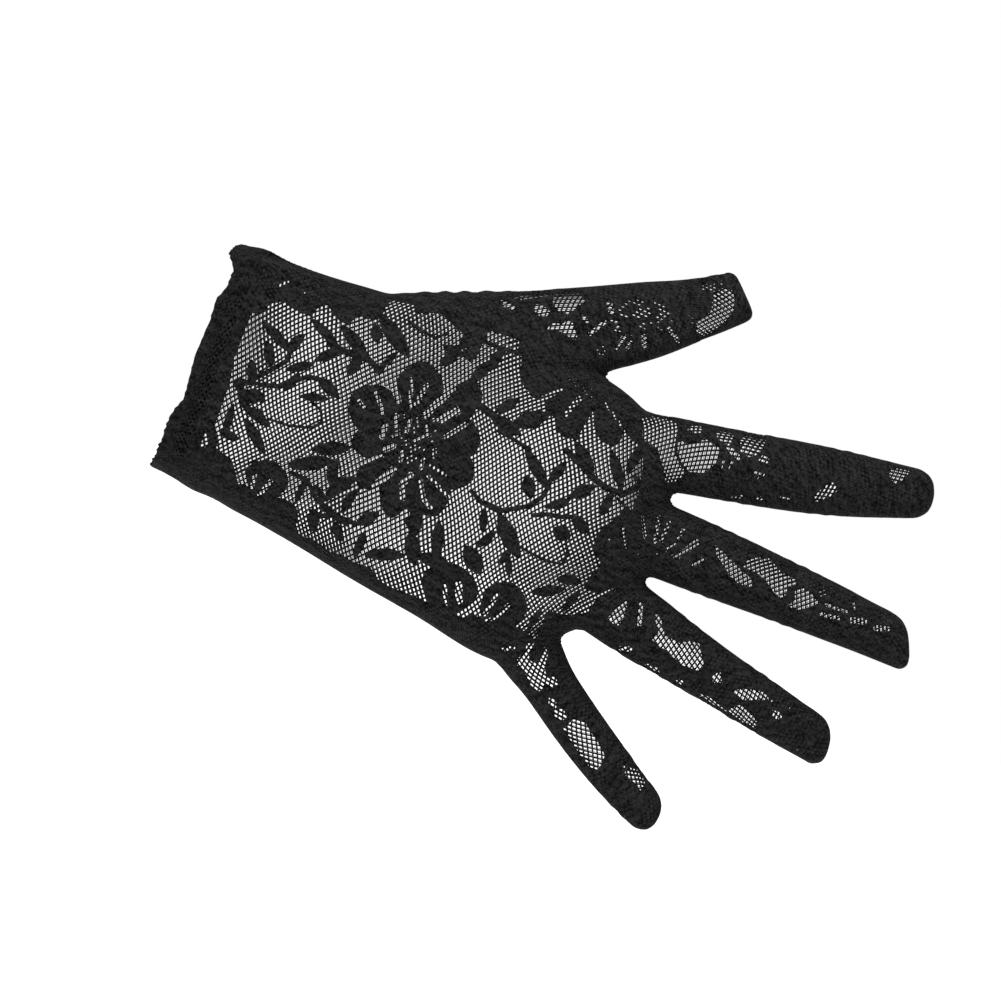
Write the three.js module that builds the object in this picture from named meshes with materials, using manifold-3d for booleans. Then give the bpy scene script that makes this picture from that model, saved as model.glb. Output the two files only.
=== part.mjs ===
// A short evening glove of stretch lace for the right hand, in the form it takes when worn.
// It is cut as two hand-shaped panels, one over the back of the hand and one over the palm, joined by one
// overlocked seam that runs round the thumb and all four fingers, and its wrist ends in a turned hem.
// Millimetres. +X runs from the wrist to the fingertips, -Y is the back of the hand, +Z is the thumb edge.
// The origin is the middle of the wrist opening, where the arm goes in.
import * as THREE from "three";
import { mergeVertices } from "three/addons/utils/BufferGeometryUtils.js";
import Module from "manifold-3d";

const wasm = await Module();
wasm.setup();

// Driving sizes of the hand part.
const palmLength = 130; // cuff edge to the crotch between the middle and ring fingers
const palmWidth = 78; // across the knuckles
const palmDepth = 28; // from the back of the hand to the palm
const palmSquareness = 2.5; // 2 is an ellipse, more is boxier

// Driving sizes of the digits: length from the root inside the hand, and breadth at the root.
const indexLength = 90;
const indexWidth = 19.1;
const middleLength = 96.5;
const middleWidth = 18.9;
const ringLength = 88;
const ringWidth = 18.6;
const littleLength = 70;
const littleWidth = 17.2;
const thumbLength = 108;
const thumbWidth = 28.5;
const digitRoundness = 0.92; // depth of a digit as a share of its breadth

// Driving sizes of the cloth and its making.
const wall = 1; // lace, net and motif together
const hemWidth = 9;
const hemProud = 0.5; // the turned hem is two plies thick
const seamWidth = 2;
const seamProud = 0.35;
const gap = 0.3; // between pieces that touch

// How the worn hand leaves the flat of the panels, towards the palm.
const fingerCurl = 9; // at the longest fingertip
const palmArch = 3; // at the outer edges of the hand
const thumbDrop = 9; // the thumb lies behind the index edge
const thumbFoldWidth = 20; // over which the panels step down to the thumb

// How finely the forms are faceted.
const ringSpacing = 8.5;
const palmSides = 28;
const digitSides = 14;
const tipSteps = 3;

// Sections of the hand: along is a share of palmLength, the edges are shares of palmWidth, and depth of palmDepth.
const palmSections = [
  { along: 0.0, thumbEdge: 0.395, littleEdge: -0.385, depth: 1.42 },
  { along: 0.07, thumbEdge: 0.41, littleEdge: -0.4, depth: 1.38 },
  { along: 0.2, thumbEdge: 0.415, littleEdge: -0.425, depth: 1.24 },
  { along: 0.32, thumbEdge: 0.43, littleEdge: -0.455, depth: 1.12 },
  { along: 0.46, thumbEdge: 0.45, littleEdge: -0.498, depth: 1.05 },
  { along: 0.61, thumbEdge: 0.452, littleEdge: -0.537, depth: 1.02 },
  { along: 0.75, thumbEdge: 0.437, littleEdge: -0.58, depth: 1.0 },
  { along: 0.82, thumbEdge: 0.415, littleEdge: -0.56, depth: 0.94 },
  { along: 0.87, thumbEdge: 0.385, littleEdge: -0.46, depth: 0.88 },
  { along: 0.92, thumbEdge: 0.335, littleEdge: -0.375, depth: 0.78 },
  { along: 0.965, thumbEdge: 0.25, littleEdge: -0.33, depth: 0.62 },
  { along: 0.99, thumbEdge: 0.16, littleEdge: -0.24, depth: 0.48 },
  { along: 1.0, thumbEdge: 0.08, littleEdge: -0.17, depth: 0.38 },
];

// Each digit starts inside the hand at along and across, shares of palmLength and palmWidth. Its direction turns
// from rootTurn over midTurn to tipTurn, in degrees from +X towards the thumb. tipRound is the tip's corner radius
// as a share of its half breadth, and tipSlant leans the tip's end back on the thumb side, in degrees.
const digits = {
  index: {
    length: indexLength, width: indexWidth, along: 0.811, across: 0.228,
    rootTurn: 9, midTurn: 11, tipTurn: 14.5, tipRound: 0.8, tipSlant: 0,
  },
  middle: {
    length: middleLength, width: middleWidth, along: 0.808, across: -0.006,
    rootTurn: -1, midTurn: -0.5, tipTurn: -4, tipRound: 0.6, tipSlant: 28,
  },
  ring: {
    length: ringLength, width: ringWidth, along: 0.812, across: -0.206,
    rootTurn: -15, midTurn: -13, tipTurn: -10, tipRound: 0.75, tipSlant: 18,
  },
  little: {
    length: littleLength, width: littleWidth, along: 0.758, across: -0.394,
    rootTurn: -41, midTurn: -35, tipTurn: -25.5, tipRound: 0.95, tipSlant: 12,
  },
  thumb: {
    length: thumbLength, width: thumbWidth, along: 0.269, across: 0.18,
    rootTurn: 27, midTurn: 21.5, tipTurn: 40, tipRound: 0.3, tipSlant: 4,
  },
};

// Breadth of each digit along its length, as shares of its width at the root.
const digitSections = [
  { along: 0.0, index: 0.95, middle: 0.95, ring: 0.95, little: 1.0, thumb: 0.98 },
  { along: 0.2, index: 1.0, middle: 1.0, ring: 1.0, little: 0.98, thumb: 1.0 },
  { along: 0.34, index: 0.985, middle: 0.99, ring: 0.97, little: 0.815, thumb: 0.94 },
  { along: 0.48, index: 0.975, middle: 0.935, ring: 0.87, little: 0.785, thumb: 0.87 },
  { along: 0.62, index: 0.95, middle: 0.86, ring: 0.795, little: 0.765, thumb: 0.8 },
  { along: 0.76, index: 0.87, middle: 0.79, ring: 0.755, little: 0.725, thumb: 0.71 },
  { along: 0.88, index: 0.75, middle: 0.715, ring: 0.695, little: 0.665, thumb: 0.57 },
  { along: 1.0, index: 0.635, middle: 0.66, ring: 0.65, little: 0.6, thumb: 0.475 },
];

const radians = THREE.MathUtils.degToRad;

// The value of a column at a place along a table, on a smooth curve through its rows.
function columnAt(table, column, along) {
  const last = table.length - 1;
  const after = table.findIndex((row) => row.along >= along);
  const i = Math.max(0, after === -1 ? last - 1 : after - 1);
  const rows = [i - 1, i, i + 1, i + 2].map((k) => table[THREE.MathUtils.clamp(k, 0, last)]);
  const [before, from, to, beyond] = rows;
  const span = to.along - from.along;
  const slope = (a, b) => ((b[column] - a[column]) / Math.max(b.along - a.along, 1e-6)) * span;
  const t = THREE.MathUtils.clamp((along - from.along) / span, 0, 1);
  const blend = [2 * t ** 3 - 3 * t ** 2 + 1, t ** 3 - 2 * t ** 2 + t, 3 * t ** 2 - 2 * t ** 3, t ** 3 - t ** 2];
  return (
    blend[0] * from[column] + blend[1] * slope(before, to) + blend[2] * to[column] + blend[3] * slope(from, beyond)
  );
}

// One ring of points of a tube: breadth lies in the XZ plane across its direction, depth along Y.
function ring({ x, z, turn, halfWidth, halfDepth, squareness, slant = 0 }, sides) {
  const points = [];
  for (let i = 0; i < sides; i++) {
    const angle = (i / sides) * 2 * Math.PI;
    const round = (value) => Math.sign(value) * Math.abs(value) ** (2 / squareness);
    const aside = halfWidth * round(Math.cos(angle));
    const ahead = -aside * slant;
    points.push(
      new THREE.Vector3(
        x + ahead * Math.cos(turn) - aside * Math.sin(turn),
        halfDepth * round(Math.sin(angle)),
        z + ahead * Math.sin(turn) + aside * Math.cos(turn),
      ),
    );
  }
  return points;
}

// A closed tube through rings of equally many points.
function loft(rings) {
  const sides = rings[0].length;
  const middleOf = (points) => points.reduce((sum, p) => sum.add(p), new THREE.Vector3()).divideScalar(sides);
  const vertices = [...rings.flat(), middleOf(rings[0]), middleOf(rings.at(-1))];
  const faces = [];
  for (let r = 0; r < rings.length - 1; r++) {
    for (let i = 0; i < sides; i++) {
      const a = r * sides + i;
      const b = r * sides + ((i + 1) % sides);
      faces.push(a, b + sides, b, a, a + sides, b + sides);
    }
  }
  const start = rings.length * sides;
  for (let i = 0; i < sides; i++) {
    const next = (i + 1) % sides;
    faces.push(start, i, next, start + 1, start - sides + next, start - sides + i);
  }
  return new THREE.BufferGeometry().setFromPoints(vertices).setIndex(faces);
}

// A three.js geometry as a solid that can be cut and joined.
function solidOf(geometry) {
  for (const name of ["normal", "uv"]) geometry.deleteAttribute(name);
  const merged = mergeVertices(geometry, 1e-4);
  return new wasm.Manifold(
    new wasm.Mesh({
      numProp: 3,
      vertProperties: merged.attributes.position.array,
      triVerts: new Uint32Array(merged.index.array),
    }),
  );
}

// A block between two corners, to cut with.
function block(low, high) {
  const size = new THREE.Vector3().subVectors(high, low);
  const middle = new THREE.Vector3().addVectors(low, high).divideScalar(2);
  return solidOf(new THREE.BoxGeometry(size.x, size.y, size.z).translate(middle.x, middle.y, middle.z));
}

// The hand without digits, drawn in by inset on every side. It starts at fromX, which may lie before the cuff.
function palmBody(inset, fromX) {
  const steps = Math.ceil(palmLength / ringSpacing);
  const rings = [];
  for (let i = 0; i <= steps; i++) {
    const along = i / steps;
    const thumbEdge = columnAt(palmSections, "thumbEdge", along) * palmWidth;
    const littleEdge = columnAt(palmSections, "littleEdge", along) * palmWidth;
    const section = {
      x: i === 0 ? fromX : along * (palmLength - inset),
      z: (thumbEdge + littleEdge) / 2,
      turn: 0,
      halfWidth: (thumbEdge - littleEdge) / 2 - inset,
      halfDepth: (columnAt(palmSections, "depth", along) * palmDepth) / 2 - inset,
      squareness: palmSquareness,
    };
    rings.push(ring(section, palmSides));
  }
  return solidOf(loft(rings));
}

// One finger or the thumb, drawn in by inset on every side.
function digitBody(name, inset) {
  const digit = digits[name];
  const turnAt = (u) =>
    radians(digit.rootTurn * (1 - u) ** 2 + digit.midTurn * 2 * u * (1 - u) + digit.tipTurn * u ** 2);
  const halfWidthAt = (u) => (columnAt(digitSections, name, u) * digit.width) / 2 - inset;
  const reach = digit.length - inset;
  const corner = Math.max(digit.tipRound * halfWidthAt(1), wall);
  const straightSteps = Math.ceil((reach - corner) / ringSpacing);

  // Places along the digit, each with how far its ring is drawn in to round the tip.
  const places = [];
  for (let i = 0; i <= straightSteps; i++) places.push({ at: ((reach - corner) * i) / straightSteps, drawn: 0 });
  for (let i = 1; i <= tipSteps; i++) {
    const lift = ((i / tipSteps) * Math.PI) / 2;
    places.push({ at: reach - corner + corner * Math.sin(lift), drawn: corner * (1 - Math.cos(lift)) });
  }

  let x = digit.along * palmLength;
  let z = digit.across * palmWidth;
  let walked = 0;
  const rings = [];
  for (const { at, drawn } of places) {
    const turn = turnAt((walked + at) / 2 / digit.length);
    x += (at - walked) * Math.cos(turn);
    z += (at - walked) * Math.sin(turn);
    walked = at;
    const u = at / digit.length;
    const halfWidth = Math.max(halfWidthAt(u) - drawn, wall / 4);
    const tipShare = THREE.MathUtils.smoothstep(u, 0.7, 1);
    const section = {
      x,
      z,
      turn: turnAt(u),
      halfWidth,
      halfDepth: Math.max(halfWidthAt(u) * digitRoundness - drawn, wall / 4),
      squareness: 2.2,
      slant: Math.tan(radians(digit.tipSlant)) * tipShare,
    };
    rings.push(ring(section, digitSides));
  }
  return solidOf(loft(rings));
}

// The whole hand as one solid, drawn in by inset.
function handBody(inset, fromX) {
  return Object.keys(digits).reduce((hand, name) => hand.add(digitBody(name, inset)), palmBody(inset, fromX));
}

// How far a point of the flat layout moves along Y when the glove is on a relaxed hand.
function hang(x, z) {
  const knuckles = 0.78 * palmLength;
  const reach = digits.middle.along * palmLength + middleLength - knuckles;
  const curl = fingerCurl * (Math.max(x - knuckles, 0) / reach) ** 2;
  const archFade = THREE.MathUtils.smoothstep(x, 0, 0.5 * palmLength);
  const arch = palmArch * archFade * Math.min(((z + 0.06 * palmWidth) / (palmWidth / 2)) ** 2, 1.5);

  // The line between hand and thumb runs along the index edge, and from the crotch on beside the thumb.
  const crotch = { x: 0.765 * palmLength, z: 0.425 * palmWidth };
  const thumbSide = new THREE.Vector2(-Math.sin(radians(42)), Math.cos(radians(42)));
  const besideThumb = (x - crotch.x) * thumbSide.x + (z - crotch.z) * thumbSide.y;
  const beyondEdge = Math.min(z - crotch.z, besideThumb);
  const step = THREE.MathUtils.smoothstep(beyondEdge, -0.5 * thumbFoldWidth, 0.5 * thumbFoldWidth);
  const rise = THREE.MathUtils.smoothstep(x, 0.16 * palmLength, 0.6 * palmLength);
  return curl + arch + thumbDrop * step * rise;
}

// A named mesh of a cut solid, hung as on the hand.
function piece(name, solid, material) {
  const cut = solid.getMesh();
  const position = new Float32Array(cut.numVert * 3);
  for (let i = 0; i < cut.numVert; i++) {
    const [x, y, z] = cut.vertProperties.subarray(i * cut.numProp, i * cut.numProp + 3);
    position.set([x, y + hang(x, z), z], i * 3);
  }
  const geometry = new THREE.BufferGeometry()
    .setAttribute("position", new THREE.BufferAttribute(position, 3))
    .setIndex(new THREE.BufferAttribute(cut.triVerts, 1));
  geometry.computeVertexNormals();
  const mesh = new THREE.Mesh(geometry, material);
  mesh.name = name;
  return mesh;
}

function lace(color, roughness) {
  return new THREE.MeshStandardMaterial({ color, roughness, metalness: 0, side: THREE.DoubleSide });
}

// What the glove fills, with a margin, to cut it apart with.
const bound = 2 * (palmLength + middleLength + thumbLength);
const inFront = new THREE.Vector3(-bound, -bound, -bound);
const behind = new THREE.Vector3(bound, bound, bound);

const beforeCuff = -hemWidth;
const cavity = handBody(wall, beforeCuff);
const shell = handBody(0, 0).subtract(cavity);
const afterHem = block(new THREE.Vector3(hemWidth + gap, -bound, -bound), behind);
const panelEdge = seamWidth / 2 + gap;

const backPanel = shell.intersect(afterHem).intersect(block(inFront, new THREE.Vector3(bound, -panelEdge, bound)));
const palmPanel = shell.intersect(afterHem).intersect(block(new THREE.Vector3(-bound, panelEdge, -bound), behind));

const seamBand = block(
  new THREE.Vector3(hemWidth + gap, -seamWidth / 2, -bound),
  new THREE.Vector3(bound, seamWidth / 2, bound),
);
const sideSeam = handBody(-seamProud, 0).subtract(handBody(wall + seamProud, beforeCuff)).intersect(seamBand);

const hemBand = block(new THREE.Vector3(0, -bound, -bound), new THREE.Vector3(hemWidth, bound, bound));
const cuffHem = palmBody(-hemProud, beforeCuff).subtract(palmBody(wall + hemProud, 2 * beforeCuff)).intersect(hemBand);

const lacePanel = lace(0x1c1c1e, 0.9);
const doubledLace = lace(0x161617, 0.92);
const overlockThread = lace(0x121213, 0.8);

const glove = new THREE.Group();
glove.add(piece("back_panel", backPanel, lacePanel));
glove.add(piece("palm_panel", palmPanel, lacePanel));
glove.add(piece("side_seam", sideSeam, overlockThread));
glove.add(piece("cuff_hem", cuffHem, doubledLace));

export default glove;
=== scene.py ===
import math
from contextlib import contextmanager

import bmesh
import bpy
import numpy as np
from mathutils import Matrix, Vector
from mathutils.bvhtree import BVHTree


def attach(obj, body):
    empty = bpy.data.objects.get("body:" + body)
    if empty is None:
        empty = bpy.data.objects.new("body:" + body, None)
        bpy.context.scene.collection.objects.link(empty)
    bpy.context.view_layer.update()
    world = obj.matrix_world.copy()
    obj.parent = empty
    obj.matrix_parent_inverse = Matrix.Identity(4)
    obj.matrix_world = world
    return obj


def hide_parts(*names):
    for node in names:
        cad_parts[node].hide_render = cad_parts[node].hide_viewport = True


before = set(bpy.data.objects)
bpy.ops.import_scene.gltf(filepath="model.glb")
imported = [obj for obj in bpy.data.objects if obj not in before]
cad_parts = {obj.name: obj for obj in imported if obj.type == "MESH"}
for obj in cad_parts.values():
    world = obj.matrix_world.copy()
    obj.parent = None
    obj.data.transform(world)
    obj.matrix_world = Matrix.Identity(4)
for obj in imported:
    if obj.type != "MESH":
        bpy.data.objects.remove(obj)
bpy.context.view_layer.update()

MM = 0.001

# The eye in front of the back panel: its distance from the plane of the seam and its place over that plane, in
# millimetres, and how far it is turned about its own axis, in degrees.
VIEW_DISTANCE = 1596
VIEW_CENTRE = np.array([88.5, -6.0])
VIEW_ROLL = 21

# Driving sizes of the glove's form, in millimetres.
PALM_LENGTH = 130
PALM_WIDTH = 78
PALM_DEPTH = 28
PALM_SQUARENESS = 2.5
DIGIT_SQUARENESS = 2.2
DIGIT_ROUNDNESS = 0.92
FINGER_CURL = 9
PALM_ARCH = 3
THUMB_DROP = 9
THUMB_FOLD_WIDTH = 18
FORM_START = -16  # beyond the wrist edge
PALM_SIDES = 96
DIGIT_SIDES = 36
VOXEL = 1.25

# Driving sizes of the cloth.
HEM_WIDTH = 9
HEM_PROUD = 0.12
HEM_FOLD_RADIUS = 0.6
PICOT_SPACING = 2.3
PICOT_REACH = 0.45
PANEL_EDGE = 1.1  # from the plane of the seam
STITCH_SPACING = 1.5
STITCH_POINTS = 9  # along one turn of the coil
SEAM_START = HEM_WIDTH + 0.401  # along the form
SEAM_BAND = 1.4  # each way from the plane of the seam
BAND_THICKNESS = 0.6
THREAD_RADIUS = 0.16
THREAD_SIDES = 5
NET_A = np.array([0.752, 0.835])  # one net strand to the next, both ways
NET_B = np.array([0.554, -1.043])
FINGERS_FROM = 85  # along the form; the line slants so that the thumb stays with the back or palm
FINGERS_SLANT = 0.9
PARTS = 3  # of a net cell, each way, along the outline of the dense work
DIVIDED_WITHIN = 0.8  # of the outline of the dense work
NETTED_FROM = 0.12  # share of a divided cell that lies outside the dense work
LACE_THICKNESS = 0.42
HEM_THICKNESS = 0.34
HEM_LAP = 0.2  # of the panels inside the end of the hem
LONGEST_SIDE = 3  # of a net cell
LEAST_CELL = 0.06  # areas of the smallest cell, and of the smallest that can have a pinhole
LEAST_PINHOLED = 0.5
LEAST_HEM_CELL = 0.1
WELD = 0.004  # points that are closer are one

# Sections of the palm's part: shares of its length, of its breadth at both edges, and of its depth.
PALM_SECTIONS = [
    # along, thumb edge, little finger edge, depth
    (0.0, 0.395, -0.385, 1.42),
    (0.07, 0.41, -0.4, 1.38),
    (0.2, 0.415, -0.425, 1.24),
    (0.32, 0.43, -0.455, 1.12),
    (0.46, 0.45, -0.498, 1.05),
    (0.61, 0.452, -0.537, 1.02),
    (0.75, 0.437, -0.58, 1.0),
    (0.82, 0.415, -0.56, 0.94),
    (0.87, 0.385, -0.46, 0.88),
    (0.92, 0.335, -0.375, 0.78),
    (0.965, 0.25, -0.33, 0.62),
    (0.99, 0.16, -0.24, 0.48),
    (1.0, 0.08, -0.17, 0.38),
]

# Digits: size in millimetres, root as shares of the palm's part, turns in degrees from +X towards the thumb.
DIGITS = {
    # length, width, root along, root across, root turn, middle turn, tip turn, tip roundness, tip slant
    "index": (90, 19.1, 0.811, 0.228, 9, 11, 14.5, 0.8, 0),
    "middle": (96.5, 18.9, 0.808, -0.006, -1, -0.5, -4, 0.6, 28),
    "ring": (88, 18.6, 0.812, -0.206, -15, -13, -10, 0.75, 18),
    "little": (70, 17.2, 0.758, -0.394, -41, -35, -25.5, 0.95, 12),
    "thumb": (108, 28.5, 0.269, 0.18, 27, 21.5, 40, 0.3, 4),
}

# Breadth of each digit along its length, as shares of its width.
DIGIT_SECTIONS = [
    # along, index, middle, ring, little, thumb
    (0.0, 0.95, 0.95, 0.95, 1.0, 0.98),
    (0.2, 1.0, 1.0, 1.0, 0.98, 1.0),
    (0.34, 0.985, 0.99, 0.97, 0.815, 0.94),
    (0.48, 0.975, 0.935, 0.87, 0.785, 0.87),
    (0.62, 0.95, 0.86, 0.795, 0.765, 0.8),
    (0.76, 0.87, 0.79, 0.755, 0.725, 0.71),
    (0.88, 0.75, 0.715, 0.695, 0.665, 0.57),
    (1.0, 0.635, 0.66, 0.65, 0.6, 0.475),
]

# The lace design, charted over the back of the glove in millimetres: x from the wrist opening, z from its middle
# towards the thumb. Dense work, net and slits are laid over each other in this order.

# Dense grounds: closed outlines.
GROUNDS = {
    "wrist": [(-12, 60), (-12, -60), (13.4, -60), (14.5, -16), (13.2, -15), (13, -3), (12.4, 0), (11.5, 5),
              (11, 10), (10.6, 15.3), (13.6, 16.6), (14.7, 18.5), (15.4, 20), (17, 21), (18.6, 22.1), (20, 21),
              (26.5, 20.6), (26.3, 22), (27.2, 23.6), (28, 25.2), (29.2, 25), (31, 23.5), (33.5, 22.2),
              (36, 22.4), (36.8, 24.6), (38, 25.5), (41.4, 25.8), (43, 27.5), (43, 60)],
    "thumb": [(36, 25.2), (41.2, 26.8), (42, 29.5), (44, 32.6), (49.4, 33.4), (51, 31.8), (53, 32.3), (56.5, 33.9),
              (60, 32.8), (61.8, 31.4), (64.2, 31.2), (64.2, 27.2), (66.5, 26), (69.5, 25.6), (69.8, 31), (70, 34.4),
              (78.2, 34.6), (78.8, 31.8), (80.3, 31), (81, 28.5), (81.7, 26), (84, 23.2), (90, 22), (92.4, 19.2),
              (94.3, 19), (95, 16), (101.3, 15.3), (101.7, 20), (102.7, 24.6), (104, 23.4), (105.8, 21),
              (108.5, 18.8), (110.2, 16.6), (111.9, 19.5), (111.6, 22.8), (113, 21.6), (116.8, 20.2), (118.6, 21),
              (121.5, 21), (126, 26), (131, 40), (150, 90), (36, 90)],
    "fingers": [(118, 60), (118, 21), (121, 12), (121.4, 4), (119, 3.2), (116.8, -1), (114.8, -5), (115, -9),
                (118.6, -12), (117.3, -15.5), (116.5, -19.3), (122, -19.3), (120.6, -21), (119.8, -25),
                (117, -27), (114, -27.8), (110.2, -28), (110, -36.4), (106.5, -35.4), (103.4, -35), (100.5, -37),
                (92, -36), (90, -38), (78, -37.4), (76, -37.2), (69, -37.3), (65, -36.2), (63.4, -34.2),
                (61.5, -34.6), (58, -34.6), (55, -34), (52, -34.6), (50, -33.6), (46, -33), (43, -33.2),
                (41.6, -31), (41, -27.5), (39.5, -26.2), (38, -25.6), (34.5, -26), (26, -26), (24, -26.4),
                (22.5, -23.8), (20.5, -21.2), (18.5, -20.4), (15.6, -19.6), (14.6, -16), (13, -16), (13, -120),
                (240, -120), (240, 60)],
}

# Net windows in the dense grounds: closed outlines.
WINDOWS = [
    # along the wrist
    [(9.2, -17.4), (10.4, -16.2), (12, -16.7), (13.4, -18.5), (12.6, -20.6), (11, -21.3), (9.2, -20.6)],
    [(21, -12.3), (19.5, -16), (18.5, -20), (20.5, -21), (22.5, -23.5), (24, -26), (24.6, -24.5), (25.5, -20.5),
     (28, -18), (27.5, -16.8), (25, -16), (23.5, -14.5)],
    # index finger
    [(115, 27), (117, 28.3), (119, 30.2), (121, 30.3), (124.5, 28.8), (125.3, 26.5), (125.4, 23), (124.8, 20.8),
     (121.5, 21.3), (118.5, 21), (117, 22), (116, 24.5)],
    [(126, 25), (130, 26), (132.5, 28), (136.5, 27), (137, 23), (135, 19.5), (131, 18.2), (126.8, 21.2), (126.2, 23)],
    [(123.5, 19.5), (125.6, 20.3), (129.8, 17.8), (130, 16.5), (129, 14.5), (126.8, 13), (125.2, 15), (123.2, 16.5)],
    [(127, 28.4), (128.5, 31), (130.8, 30.6), (130.6, 28.9), (129, 28.2)],
    [(121.5, 21.4), (125.6, 24), (127, 21.6), (130.2, 18.4), (130, 16.2), (125, 16.2), (123.2, 18.8)],
    [(140.8, 31), (142.4, 34.4), (145.4, 35.5), (147.2, 33.4), (146.8, 29.4), (144.6, 27.5), (142, 28)],
    [(179.6, 37.2), (182.5, 39.6), (185.6, 39.5), (184.2, 36.5), (182.6, 34.6), (181, 35.8)],
    [(133.2, 31), (134.4, 29.8), (136.6, 28.6), (138.7, 28.4), (138.9, 31.8), (136.2, 32.3), (134.8, 30.8)],
    [(137.6, 28), (140, 26.4), (142.4, 25.7), (142.6, 26.9), (140, 28.2)],
    [(164, 24.3), (165.5, 27.5), (167, 29.3), (169.3, 28), (168, 25.5), (166.5, 24), (165, 22.8)],
    [(147, 27.4), (147.6, 29.7), (149.6, 29.2), (149.4, 27.2)],
    [(149.8, 17.8), (151, 19.3), (151.9, 18.4), (150.8, 17.4)],
    # middle finger
    [(116.3, 6), (117, 7.5), (119, 8.6), (121, 10), (120.3, 7.8), (120, 4.6), (118, 5.2)],
    [(116.5, 4.8), (119, 3.5), (118.3, 1), (117, -0.8), (115.5, 0.3), (116, 2.5)],
    [(144.5, 3.5), (147, 2.2), (150, 0.9), (153, -0.5), (157, -2), (157, -3.8), (153.5, -4), (150.5, -2.8),
     (148, -0.8), (145.5, 1)],
    [(153, 0.5), (154, 3), (156, 4.2), (158.5, 5.3), (161, 4), (163.5, 2.7), (167, 2.4), (168.5, 1), (166.2, 0),
     (166.3, -2), (165.5, -3.6), (163, -2.8), (160, -0.8), (157, 0.3)],
    [(168, -0.3), (170, 1), (172.5, 0.3), (175, -1.3), (173, -3.3), (170.5, -5), (167.3, -4.8), (169, -3)],
    # ring finger
    [(128.2, -17.4), (128.7, -19.5), (129, -23), (128.5, -25.3), (126.8, -25.3), (125.2, -24.5), (126, -22.5),
     (127, -20)],
    [(138, -25.5), (139, -23.3), (142, -23.5), (145, -23.8), (147, -22.5), (150, -22), (151, -24), (153, -27),
     (152, -28.8), (148, -29), (145, -28), (143, -26.8), (140, -26.6)],
    [(165.2, -33.3), (168.2, -33.8), (171.2, -35.8), (172.2, -38.8), (169.8, -39), (167.4, -38), (165, -36.6),
     (162.8, -35.9)],
    [(162.6, -30.6), (164, -29.2), (168, -28.2), (171, -27.9), (172, -29.3), (169, -30.4), (166, -31.7),
     (163.8, -31.5)],
    [(173.6, -31.6), (175.5, -31.2), (177, -32.4), (175.8, -33.7), (174.4, -33.2)],
    [(154.2, -34.3), (157.5, -34.1), (163, -36.1), (162.6, -37.5), (159, -36.8), (155.2, -36.2)],
    [(137.6, -32.6), (139.5, -31.7), (142, -32), (143.8, -33.3), (142.4, -34.2), (139.4, -34)],
    [(146.6, -34), (148.6, -32.5), (150.4, -32.7), (149.4, -34.3)],
    [(129.4, -31.8), (131.2, -29.9), (133.9, -29), (134.2, -30.4), (132, -31.6), (130.4, -32.2)],
    [(157.4, -26.8), (158.9, -29.5), (157, -30.4), (155.9, -29)],
    # little finger
    [(118.4, -49.2), (120.5, -49.2), (121.3, -51.2), (119.3, -51.6)],
    [(121, -51.7), (123, -50.6), (124.8, -52.3), (123.7, -53.9), (121.7, -53.3)],
    [(107.2, -42.6), (108.4, -41), (108.2, -38), (109.8, -37.4), (109.9, -42), (112.6, -41.8), (112.7, -37),
     (114.3, -38.5), (114.5, -42), (116, -44.6), (118, -43.5), (119.5, -45), (118.5, -46.4), (116.5, -46.5),
     (115.5, -48.8), (113.5, -48.8), (111.5, -46.5), (109.5, -45), (107.8, -44.5)],
    [(126.5, -52.2), (129.6, -51.8), (131.5, -53.4), (134, -55), (137.5, -58), (137.3, -61), (136.4, -63.2),
     (134.5, -62.3), (131, -60), (127.5, -57.5), (124.8, -55.4)],
    [(145, -58), (147.4, -57.9), (150, -60.3), (149.5, -63.4), (147.5, -62), (145, -61.5), (143.8, -60.4)],
    # thumb
    [(121, 64), (122.5, 66.5), (125, 67), (126.5, 65), (127.3, 62), (126.5, 59), (124.5, 54.5), (122.5, 51.8),
     (120.5, 53), (119.5, 55.5), (121, 57.5), (122, 60)],
    [(116.2, 66.2), (117.6, 67.8), (121, 67.4), (121.2, 64.8), (118, 64)],
    [(81.8, 49), (84.4, 51.1), (87, 52.3), (90.6, 50.6), (89, 48), (87.6, 45.4), (84.4, 45.5), (82.8, 47)],
    [(70.8, 44.3), (71.8, 46.6), (75.8, 48), (78.7, 49.2), (81.3, 49.9), (81.2, 48.2), (79.7, 47.5), (78.3, 45.9),
     (76, 45), (73.6, 44.4)],
    [(78.4, 45.4), (80.6, 45.6), (82.9, 44.7), (82.6, 43.1), (80.8, 42.4), (79.2, 43)],
    [(83.8, 39.9), (84.4, 41.9), (87, 42.5), (88, 44.1), (89.5, 43.8), (90.8, 42.2), (92, 40.7), (91.3, 39.6),
     (88.4, 40.5), (86, 40.4)],
    [(69.5, 42.7), (71, 43.2), (74.2, 42.6), (73.8, 41.5), (71.2, 41.3)],
]

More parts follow.
